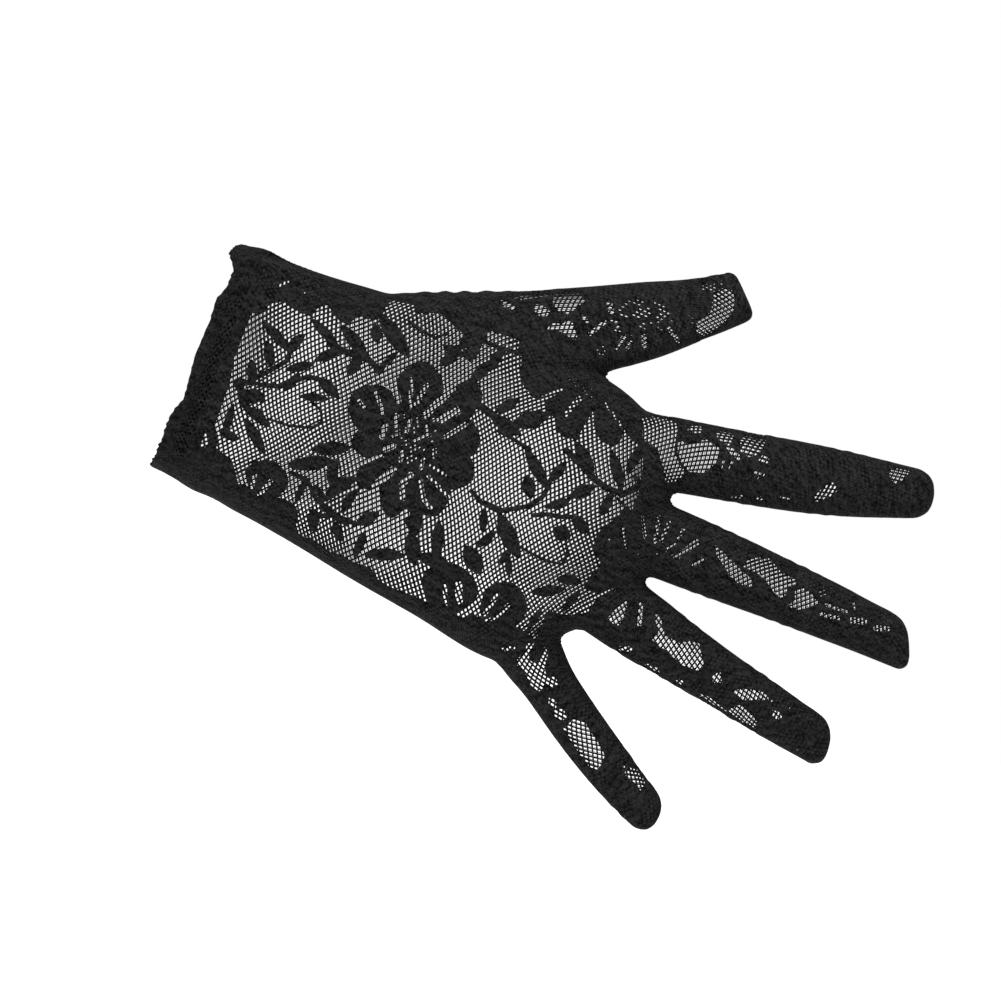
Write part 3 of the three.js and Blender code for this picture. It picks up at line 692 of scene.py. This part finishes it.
class Knitting:
    """A sheet of lace, gathered cell by cell. The cloth's own flat millimetres are its UV map."""

    def __init__(self):
        self.points, self.cloth, self.weights, self.faces = [], [], [], []

    def solid(self, places, flat, weight=1.0):
        start = len(self.points)
        self.points.extend(places)
        self.cloth.extend(flat)
        self.weights.extend([weight] * len(places))
        self.faces.append(tuple(range(start, start + len(places))))

    def holed(self, places, flat, inset, weight):
        """A cell with a hole, inset from each of its sides."""
        inner = hole_corners(places, [inset] * len(places))
        if inner is None:
            self.solid(places, flat, weight)
            return
        start, count = len(self.points), len(places)
        middle, flat_middle = np.mean(places, axis=0), np.mean(flat, axis=0)
        shares = [
            min(np.linalg.norm(corner - place) / max(np.linalg.norm(place - middle), 1e-6), 1)
            for place, corner in zip(places, inner)
        ]
        self.points.extend([*places, *inner])
        self.cloth.extend([*flat, *[f + (flat_middle - f) * share for f, share in zip(flat, shares)]])
        self.weights.extend([weight] * (2 * count))
        for k in range(count):
            n = (k + 1) % count
            self.faces.append((start + k, start + n, start + count + n, start + count + k))

    def made(self, name, thickness, net_share):
        """The sheet in its place. net_share is the share of the thickness that the net has."""
        points, cloth = np.array(self.points), np.array(self.cloth)
        points[:, 1] += hang(points[:, 0], points[:, 2])
        points[:, 2] += flare(points[:, 0], points[:, 2])
        obj = new_object(name, points * MM, self.faces)
        uv = obj.data.uv_layers.new(name="cloth_mm")
        indices = np.empty(len(obj.data.loops), int)
        obj.data.loops.foreach_get("vertex_index", indices)
        uv.data.foreach_set("uv", cloth[indices].ravel())
        group = obj.vertex_groups.new(name="dense")
        for weight in (0.0, 1.0):
            group.add([k for k, w in enumerate(self.weights) if w == weight], weight, "REPLACE")
        with editing(obj):
            bpy.ops.mesh.remove_doubles(threshold=WELD * MM)
            bpy.ops.mesh.dissolve_degenerate(threshold=WELD * MM)
        thicken(obj, thickness, vertex_group="dense", thickness_vertex_group=net_share)
        bpy.ops.object.shade_smooth()
        return obj


def facing(cells, places, normals):
    """The cells, each turned so that it faces outward."""
    a, b, c, d = (places[cells[:, k]] for k in range(4))
    outward = np.einsum("ij,ij->i", np.cross(c - a, d - b), normals[cells].mean(axis=1))
    return np.where((outward < 0)[:, None], cells[:, ::-1], cells)


def measured(cells, places):
    """The area and the longest side of each cell."""
    sides = [np.linalg.norm(places[cells[:, k]] - places[cells[:, k - 1]], axis=1) for k in range(4)]
    a, b, c, d = (places[cells[:, k]] for k in range(4))
    return np.linalg.norm(np.cross(c - a, d - b), axis=1) / 2, np.max(sides, axis=0)


def lattice(low, high):
    """Net crossings over a rectangle of cloth, with the four crossings round each cell."""
    basis = np.stack([NET_A, NET_B], axis=1)
    ends = np.linalg.solve(basis, np.array([(x, y) for x in (low[0], high[0]) for y in (low[1], high[1])]).T)
    first, last = np.floor(ends.min(axis=1)).astype(int) - 1, np.ceil(ends.max(axis=1)).astype(int) + 1
    rows, columns = np.arange(first[0], last[0] + 1), np.arange(first[1], last[1] + 1)
    i, j = np.meshgrid(rows, columns, indexing="ij")
    points = i[..., None] * NET_A + j[..., None] * NET_B
    number = np.arange(i.size).reshape(i.shape)
    corners = [number[:-1, :-1], number[1:, :-1], number[1:, 1:], number[:-1, 1:]]
    cells = np.stack([c.ravel() for c in corners], axis=1)
    return points.reshape(-1, 2), cells


def relief(level):
    """How far the dense work stands out of the net."""
    return 0.08 + 0.12 * smoothstep(-level, 0.0, 0.7)


def chart_place(places):
    """Where points of a panel lie in the design. The palm's panel carries it a little larger, so that both panels'
    designs lie over each other for an eye VIEW_DISTANCE in front of the back."""
    share = (VIEW_DISTANCE - places[:, 1]) / (VIEW_DISTANCE + places[:, 1])
    share = np.where(places[:, 1] > 0, share, 1)[:, None]
    return VIEW_CENTRE + (places[:, [0, 2]] - VIEW_CENTRE) * share


def lace_panel(names, form, strand, sieve_inset, sieve_share, let_out):
    """One panel of lace, as two pieces of the same cloth: back or palm with the thumb, and the fingers.
    strand is the half breadth of the net's strands, sieve_inset that between pinholes, sieve_share raises the number
    of pinholes, and let_out is how far the net reaches into the dense work of the design."""
    cloth = FlatCloth(form)
    flat, cells = lattice(cloth.flat.min(axis=0) - 2, cloth.flat.max(axis=0) + 2)
    flat = flat + drift(flat)
    near = np.all((flat > cloth.flat.min(axis=0) - 2.5) & (flat < cloth.flat.max(axis=0) + 2.5), axis=1)
    off = np.full(len(flat), np.inf)
    places, normals = np.zeros((len(flat), 3)), np.zeros((len(flat), 3))
    flat[near], off[near], places[near], normals[near] = cloth.lay(flat[near])

    # A cell belongs to the panel when one of its corners lies on the cloth and the others are beside it.
    cells = cells[np.all(off[cells] < 1.95, axis=1) & np.any(off[cells] < 1e-4, axis=1)]
    size, longest = measured(cells, places)
    kept = (longest < LONGEST_SIDE) & (size > LEAST_CELL)
    cells, size = facing(cells[kept], places, normals), size[kept]

    used = np.unique(cells)
    level = np.ones(len(flat))
    level[used] = motif_distance(chart_place(places[used])) + let_out
    middles = chart_place(places[cells].mean(axis=1))
    middle_level = motif_distance(middles) + let_out
    chance = np.random.default_rng(7).random(len(cells))
    pinholed = (chance < sieve_share * sieve_openness(middles)) & (size > LEAST_PINHOLED)
    nearest = np.minimum(np.abs(level[cells]).min(axis=1), np.abs(middle_level))
    crossed = (nearest < DIVIDED_WITHIN) | ((level[cells].max(axis=1) > 0) & (level[cells].min(axis=1) < 0))
    ground = places + normals * crease(places[:, 0], places[:, 2])[:, None]
    work = ground + normals * relief(level)[:, None]

    flat_middles = flat[cells].mean(axis=1)
    piece = (flat_middles[:, 0] - FINGERS_SLANT * flat_middles[:, 1] > FINGERS_FROM).astype(int)
    knittings = [Knitting(), Knitting()]

    def knit(n, dense):
        """One whole cell: net, or dense work with or without a pinhole."""
        cell, knitting = cells[n], knittings[piece[n]]
        if not dense:
            knitting.holed(ground[cell], flat[cell], strand, 0.0)
        elif pinholed[n]:
            knitting.holed(work[cell], flat[cell], sieve_inset, 1.0)
        else:
            knitting.solid(work[cell], flat[cell])

    for n in np.flatnonzero(~crossed):
        knit(n, middle_level[n] < 0)

    # Cells near the outline of the dense work are divided, and the outline runs through their parts.
    u, v = (grid.ravel() for grid in np.meshgrid(*[np.linspace(0, 1, PARTS + 1)] * 2, indexing="ij"))
    shares = np.stack([(1 - u) * (1 - v), u * (1 - v), u * v, (1 - u) * v], axis=1)
    divided = np.flatnonzero(crossed)
    part_flat, part_ground, part_normals, part_places = (
        np.einsum("pk,nkd->npd", shares, corners[cells[divided]]) for corners in (flat, ground, normals, places)
    )
    part_level = (motif_distance(chart_place(part_places.reshape(-1, 3))) + let_out).reshape(len(divided), -1)
    part_work = part_ground + part_normals * relief(part_level)[..., None]
    number = np.arange((PARTS + 1) ** 2).reshape(PARTS + 1, PARTS + 1)
    parts = np.stack([number[:-1, :-1], number[1:, :-1], number[1:, 1:], number[:-1, 1:]], axis=-1).reshape(-1, 4)
    for n, levels, at, on in zip(divided, part_level, part_work, part_flat):
        if (levels > 0).mean() > NETTED_FROM:
            knit(n, dense=False)
        if levels.max() < 0:
            knit(n, dense=True)
            continue
        for part in parts:
            outline, outline_flat = [], []
            for k in range(4):
                i, j = part[k], part[(k + 1) % 4]
                if levels[i] < 0:
                    outline.append(at[i])
                    outline_flat.append(on[i])
                if (levels[i] < 0) != (levels[j] < 0):
                    share = levels[i] / (levels[i] - levels[j])
                    outline.append(at[i] + (at[j] - at[i]) * share)
                    outline_flat.append(on[i] + (on[j] - on[i]) * share)
            if len(outline) > 2:
                knittings[piece[n]].solid(outline, outline_flat)

    made = []
    for k, name in enumerate(names):
        spread = np.ptp(flat[cells[piece == k]].reshape(-1, 2), axis=0)
        area = (piece == k).mean() * cloth.flat_area
        made.append((knittings[k].made(name, LACE_THICKNESS, net_share=0.55), spread, area))
    return made


def spread_evenly(points, count):
    """Points spread evenly along a line."""
    walked = np.r_[0, np.cumsum(np.linalg.norm(np.diff(points, axis=0), axis=1))]
    places = np.linspace(0, walked[-1], count)
    return np.stack([np.interp(places, walked, points[:, k]) for k in range(points.shape[1])], axis=1)


def wrist_hem():
    """The turned hem: an outer ply, the fold with its small points, and an inner ply."""
    sides = 360
    stations = np.linspace(0, HEM_WIDTH + 0.4, 12)
    outlines = [palm_ring(x, sides) for x in stations]
    rings = np.array([spread_evenly(np.vstack([outline, outline[:1]]), sides + 1) for outline in outlines])
    girth = np.linalg.norm(np.diff(rings[0], axis=0), axis=1).sum()
    centre = np.array([0, 0, (PALM_SECTIONS[0][1] + PALM_SECTIONS[0][2]) / 2 * PALM_WIDTH])

    def on_wrist(x, around):
        f = np.clip(x / stations[-1], 0, 1) * (len(stations) - 1)
        g = (around / girth % 1) * sides
        i, j = np.minimum(f.astype(int), len(stations) - 2), np.minimum(g.astype(int), sides - 1)
        s, t = (f - i)[:, None], (g - j)[:, None]
        lower = rings[i, j] * (1 - t) + rings[i, j + 1] * t
        upper = rings[i + 1, j] * (1 - t) + rings[i + 1, j + 1] * t
        place = lower * (1 - s) + upper * s
        tangent = rings[i, j + 1] - rings[i, j]
        outward = unit(np.stack([np.zeros(len(x)), -tangent[:, 2], tangent[:, 1]], axis=1))
        flip = np.sign(np.einsum("ij,ij->i", outward, place - centre))
        return place, outward * flip[:, None]

    fold = math.pi * HEM_FOLD_RADIUS
    length = 2 * HEM_WIDTH + fold
    flat, cells = lattice(np.array([0.0, -0.5]), np.array([length, girth + 0.5]))
    flat[:, 0] = np.clip(flat[:, 0], 0, length)
    along, around = flat[:, 0], flat[:, 1]
    turn = np.clip((along - HEM_WIDTH) / HEM_FOLD_RADIUS, 0, math.pi)
    x = np.where(along < HEM_WIDTH, HEM_WIDTH - along, np.maximum(along - HEM_WIDTH - fold, 0))
    place, outward = on_wrist(x + 0.2, around)
    lift = HEM_PROUD - HEM_FOLD_RADIUS * (1 - np.cos(turn))
    points_at = np.abs(((around / PICOT_SPACING) % 1) - 0.5) * 2
    reach = (HEM_FOLD_RADIUS + PICOT_REACH * smoothstep(points_at, 0.35, 1)) * np.sin(turn)
    wave = 0.35 * np.sin(around * 0.23) * smoothstep(-x, -6, 0)
    places = place + outward * lift[:, None]
    places[:, 0] += HEM_FOLD_RADIUS - reach + wave * 0.6 + 0.1
    places[:, 0] += wrist_edge(places[:, 2]) * (1 - smoothstep(places[:, 0], 0, 7.5))
    normals = outward * np.cos(turn)[:, None]
    normals[:, 0] = -np.sin(turn)
    size, longest = measured(cells, places)
    cells = facing(cells[(longest < LONGEST_SIDE) & (size > LEAST_HEM_CELL)], places, normals)

    # The outer ply has holes in cloudy spots, and is nearly net over the middle of the wrist.
    middles = flat[cells].mean(axis=1)
    chance = np.random.default_rng(3).random(len(cells))
    spots = 0.5 + 0.5 * np.sin(middles[:, 1] * 0.33 + 1.5 * np.sin(middles[:, 0] * 0.5)) * np.sin(middles[:, 1] * 0.12)
    across = places[cells].mean(axis=1)[:, 2]
    netted = (middles[:, 0] < HEM_WIDTH - 4) & (np.abs(across + 4) < 21)
    share = np.where(netted, 0.55 + 0.45 * spots, 0.45 * spots)
    holed = (middles[:, 0] < HEM_WIDTH - 1) & (middles[:, 0] > 0.4) & (chance < share)
    proud = 0.08 * np.sin(around * 0.9 + along * 0.8) + crease(places[:, 0], places[:, 2]) * 0.7
    places = places + normals * proud[:, None]
    knitting = Knitting()
    for cell, hole, inset in zip(cells, holed, np.where(netted, 0.27, 0.34)):
        if hole:
            knitting.holed(places[cell], flat[cell], inset, 1.0)
        else:
            knitting.solid(places[cell], flat[cell])
    return knitting.made("turned_hem", HEM_THICKNESS, net_share=0.8), girth, length


def outline_run(panel):
    """The points of the panel's edge in order, from the cuff round all digits and back to the cuff."""
    bm = bmesh.new()
    bm.from_mesh(panel.data)
    border = {e for e in bm.edges if e.is_boundary}
    side = [v for v in bm.verts if v.is_boundary and v.co.x > SEAM_START]
    run = [min((v for v in side if v.co.z > 0), key=lambda v: (v.co.x, -v.co.z))]
    seen = {run[0]}
    while True:
        beside = [e.other_vert(run[-1]) for e in run[-1].link_edges if e in border]
        onward = [v for v in beside if v not in seen and v.co.x > SEAM_START]
        if not onward:
            break
        run.append(onward[0])
        seen.add(onward[0])
    points = np.array([v.co for v in run])
    bm.free()
    return points


def resample(points, spacing):
    """Points about one spacing apart along a line, and its length."""
    length = np.cumsum(np.linalg.norm(np.diff(points, axis=0), axis=1))[-1]
    return spread_evenly(points, int(length / spacing) + 1), length


def overlock(form, panel):
    """The seam: a narrow band between the panels, bound over by a coil of thread."""
    edge = outline_run(panel)
    path, length = resample(edge[:, [0, 2]], 1.0)
    for _ in range(4):
        path[1:-1] = (path[:-2] + 2 * path[1:-1] + path[2:]) / 4
    turns = int(length / STITCH_SPACING)
    path, length = resample(path, length / (turns * STITCH_POINTS))
    steps = len(path)
    tangent = unit(np.gradient(path, axis=0))
    outward = np.stack([-tangent[:, 1], tangent[:, 0]], axis=1)
    centre_side = np.sign(np.einsum("ij,ij->i", outward, path - edge[:, [0, 2]].mean(axis=0)))
    if centre_side[:40].mean() < 0:
        outward = -outward
    phase = np.arange(steps) / STITCH_POINTS * 2 * np.pi
    spine = np.zeros((steps, 3))
    lift = 0.4 * np.cos(phase) - 0.42
    spine[:, [0, 2]] = path + outward * lift[:, None]
    spine[:, 1] = 1.0 * np.sin(phase)
    spine[:, 1] += hang(spine[:, 0], spine[:, 2])
    run = unit(np.gradient(spine, axis=0))
    normal = np.zeros((steps, 3))
    normal[:, [0, 2]] = outward * np.cos(phase)[:, None]
    normal[:, 1] = np.sin(phase)
    side = unit(np.cross(run, normal))
    normal = np.cross(side, run)
    angles = [2 * math.pi * k / THREAD_SIDES for k in range(THREAD_SIDES)]
    points = [spine + THREAD_RADIUS * (math.cos(angle) * normal + math.sin(angle) * side) for angle in angles]
    points = np.stack(points, axis=1).reshape(-1, 3)
    faces = []
    for s in range(0, (steps - 1) * THREAD_SIDES, THREAD_SIDES):
        for k in range(THREAD_SIDES):
            a, b = s + k, s + (k + 1) % THREAD_SIDES
            faces.append((a, b, b + THREAD_SIDES, a + THREAD_SIDES))
    faces.append(tuple(range(THREAD_SIDES))[::-1])
    faces.append(tuple((steps - 1) * THREAD_SIDES + k for k in range(THREAD_SIDES)))
    points[:, 2] += flare(points[:, 0], points[:, 2])
    coil = new_object("overlock_coil", points * MM, faces)

    sides = [((0, way * SEAM_BAND, 0), (0, way, 0)) for way in (-1, 1)]
    band = cut(form, "overlocked_seam", [*sides, ((HEM_WIDTH + 0.3, 0, 0), (-1, 0, 0))])
    for vertex in band.data.vertices:
        place = vertex.co - vertex.normal * 0.05
        move = Vector((0, float(hang(place.x, place.z)), float(flare(place.x, place.z))))
        vertex.co = (place + move) * MM
    thicken(band, BAND_THICKNESS)
    join([band, coil])
    with editing(band):
        bpy.ops.mesh.normals_make_consistent(inside=False)
    bpy.ops.object.shade_smooth()
    return band


# ------------------------------------------------------------------------------------------------------ materials


def colour(code):
    """A linear colour from an sRGB code."""
    parts = [int(code[k : k + 2], 16) / 255 for k in (1, 3, 5)]
    return (*[p / 12.92 if p <= 0.04045 else ((p + 0.055) / 1.055) ** 2.4 for p in parts], 1)


def add_node(tree, kind, inputs=(), **settings):
    node = tree.nodes.new(kind)
    for name, value in settings.items():
        setattr(node, name, value)
    for socket, value in dict(inputs).items():
        if isinstance(value, bpy.types.NodeSocket):
            tree.links.new(value, node.inputs[socket])
        else:
            node.inputs[socket].default_value = value
    return node


def ranged(tree, value, low, high, to_low=0.0, to_high=1.0):
    limits = {"From Min": low, "From Max": high, "To Min": to_low, "To Max": to_high}
    return add_node(tree, "ShaderNodeMapRange", {0: value, **limits}).outputs[0]


def product(tree, a, b):
    return add_node(tree, "ShaderNodeMath", {0: a, 1: b}, operation="MULTIPLY").outputs[0]


def total(tree, a, b):
    return add_node(tree, "ShaderNodeMath", {0: a, 1: b}, operation="ADD").outputs[0]


def black_lace(name, dark, light, rib_spacing):
    """Matt black lace: slanting stitch ribs that come and go, fluff, and hollows between the loops, all in the bump;
    the base colour is lighter along the rib crests and darker in the hollows, a painted highlight and painted shade.
    """
    material = bpy.data.materials.new(name)
    material.use_nodes = True
    tree = material.node_tree
    surface = tree.nodes["Principled BSDF"]
    cloth = add_node(tree, "ShaderNodeUVMap", uv_map="cloth_mm").outputs[0]
    ribs = []
    for turn, spacing in ((48, rib_spacing), (-62, rib_spacing), (4, 0.6 * rib_spacing)):
        turned = add_node(tree, "ShaderNodeMapping", {0: cloth, "Rotation": (0, 0, math.radians(turn))}).outputs[0]
        wave = {0: turned, "Scale": 0.314 / spacing, "Distortion": 1.6, "Detail": 2.0, "Detail Scale": 0.6}
        ribs.append(add_node(tree, "ShaderNodeTexWave", wave).outputs[1])
    patches = add_node(tree, "ShaderNodeTexNoise", {0: cloth, "Scale": 0.2, "Detail": 2.0}).outputs[0]
    fluff = add_node(tree, "ShaderNodeTexNoise", {0: cloth, "Scale": 0.9, "Detail": 4.0, "Roughness": 0.7}).outputs[0]
    streaked = add_node(tree, "ShaderNodeMapping", {0: cloth, "Scale": (0.25, 0.9, 1)}).outputs[0]
    streaks = add_node(tree, "ShaderNodeTexNoise", {0: streaked, "Scale": 0.8, "Detail": 2.0}).outputs[0]
    loops = add_node(tree, "ShaderNodeTexVoronoi", {0: cloth, "Scale": 0.95}).outputs[0]
    meshed = product(tree, product(tree, ribs[0], ribs[1]), ranged(tree, patches, 0.42, 0.58, 0.1, 1.0))
    ribbed = product(tree, ribs[2], ranged(tree, patches, 0.55, 0.42, 0.0, 0.5))
    # stitch ribs, raised in the bump and lightened in the base colour as a painted highlight
    stitch_relief_and_highlight = total(tree, meshed, ribbed)
    # hollows between the loops: lower in the bump and darker in the base colour, painted shade
    pit_depth_and_shade = ranged(tree, loops, 0.1, 0.4, 0.1, 1.0)
    soft = total(tree, ranged(tree, fluff, 0.3, 0.7, -0.12, 0.5), ranged(tree, streaks, 0.35, 0.65, -0.12, 0.2))
    # the base colour follows the bump: lighter along raised rib crests, a painted highlight, and darker in the loop
    # hollows, painted shade, over random mottling from fluff and streaks
    tone_and_painted_light = product(tree, total(tree, product(tree, stitch_relief_and_highlight, 0.5), soft), pit_depth_and_shade)
    base_colour_and_painted_light = add_node(tree, "ShaderNodeMix", {0: tone_and_painted_light}, data_type="RGBA")
    base_colour_and_painted_light.inputs[6].default_value, base_colour_and_painted_light.inputs[7].default_value = colour(dark), colour(light)
    height = total(tree, total(tree, stitch_relief_and_highlight, fluff), pit_depth_and_shade)
    bump = add_node(tree, "ShaderNodeBump", {"Height": height, "Strength": 1.0, "Distance": 0.2 * MM})
    tree.links.new(base_colour_and_painted_light.outputs[2], surface.inputs["Base Color"])
    tree.links.new(bump.outputs[0], surface.inputs["Normal"])
    surface.inputs["Roughness"].default_value = 0.9
    surface.inputs["Specular IOR Level"].default_value = 0.06
    return material


def plain(name, code, roughness):
    material = bpy.data.materials.new(name)
    material.use_nodes = True
    surface = material.node_tree.nodes["Principled BSDF"]
    surface.inputs["Base Color"].default_value = colour(code)
    surface.inputs["Roughness"].default_value = roughness
    surface.inputs["Specular IOR Level"].default_value = 0.08
    return material


# ---------------------------------------------------------------------------------------------------------- glove

form = glove_form()
cuff_line = ((HEM_WIDTH - HEM_LAP, 0, 0), (-1, 0, 0))
back_form = cut(form, "back_form", [((0, -PANEL_EDGE, 0), (0, 1, 0)), cuff_line])
palm_form = cut(form, "palm_form", [((0, PANEL_EDGE, 0), (0, -1, 0)), cuff_line])
back = lace_panel(
    ("lace_back_hand", "lace_back_fingers"), back_form, strand=0.228, sieve_inset=0.3, sieve_share=1, let_out=0.0
)
palm = lace_panel(
    ("lace_palm_hand", "lace_palm_fingers"), palm_form, strand=0.07, sieve_inset=0.08, sieve_share=3, let_out=0.4
)
hem, hem_girth, hem_length = wrist_hem()
seam = overlock(form, back_form)
for scratch in (form, back_form, palm_form):
    bpy.data.objects.remove(scratch, do_unlink=True)

# Darkest and lightest base colours of the lace; their spread carries the painted highlight on rib crests and the
# painted shade in loop hollows as well as random mottling.
lace = black_lace("black stretch lace", "#010101", "#333333", 1.05)
doubled = black_lace("black stretch lace, doubled", "#010101", "#2f2f2f", 0.95)
thread = plain("black overlock thread", "#161617", 0.8)
pieces = [(obj, "back_panel", "lace", lace) for obj, _, _ in back]
pieces += [(obj, "palm_panel", "lace", lace) for obj, _, _ in palm]
pieces += [(seam, "side_seam", "overlock_thread", thread), (hem, "cuff_hem", "doubled_lace", doubled)]
for obj, node, slot, material in pieces:
    obj.data.materials.clear()
    obj.data.materials.append(material)
    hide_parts(node)
    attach(obj, "root")

# ---------------------------------------------------------------------------------------------------------- stage

floor_material = plain("white studio floor", "#ffffff", 0.9)
bpy.ops.mesh.primitive_plane_add(size=40, location=(0, 0, -0.25))
floor = bpy.context.object
floor.name = "studio_floor"
floor.data.materials.append(floor_material)

world = bpy.data.worlds.new("white studio")
bpy.context.scene.world = world
world.use_nodes = True
world.node_tree.nodes["Background"].inputs[0].default_value = (1, 1, 1, 1)
seen = add_node(world.node_tree, "ShaderNodeLightPath")
strength = add_node(
    world.node_tree, "ShaderNodeMapRange", {0: seen.outputs["Is Camera Ray"], "To Min": 0.55, "To Max": 1.0}
)
world.node_tree.links.new(strength.outputs[0], world.node_tree.nodes["Background"].inputs[1])


def soft_sun(name, direction, strength, spread):
    light = bpy.data.lights.new(name, "SUN")
    light.energy = strength
    light.angle = math.radians(spread)
    obj = linked(name, light)
    obj.rotation_mode = "QUATERNION"
    obj.rotation_quaternion = Vector(direction).to_track_quat("-Z", "Y")


soft_sun("key_softbox", direction=(0.5, 0.55, -1.0), strength=3.2, spread=30)

camera_data = bpy.data.cameras.new("camera")
camera_data.sensor_width = 36
camera_data.lens = 221.3
camera_data.clip_start, camera_data.clip_end = 0.05, 60
camera = linked("camera", camera_data)
roll = math.radians(VIEW_ROLL)
camera.rotation_mode = "QUATERNION"
right = Vector((math.cos(roll), 0, math.sin(roll)))
up = Vector((-math.sin(roll), 0, math.cos(roll)))
axes = Matrix((right, up, Vector((0, -1, 0)))).transposed()
camera.rotation_quaternion = axes.to_quaternion()
camera.location = (VIEW_CENTRE[0] * MM, -VIEW_DISTANCE * MM, VIEW_CENTRE[1] * MM)
bpy.context.scene.camera = camera
bpy.context.scene.view_settings.view_transform = "Standard"
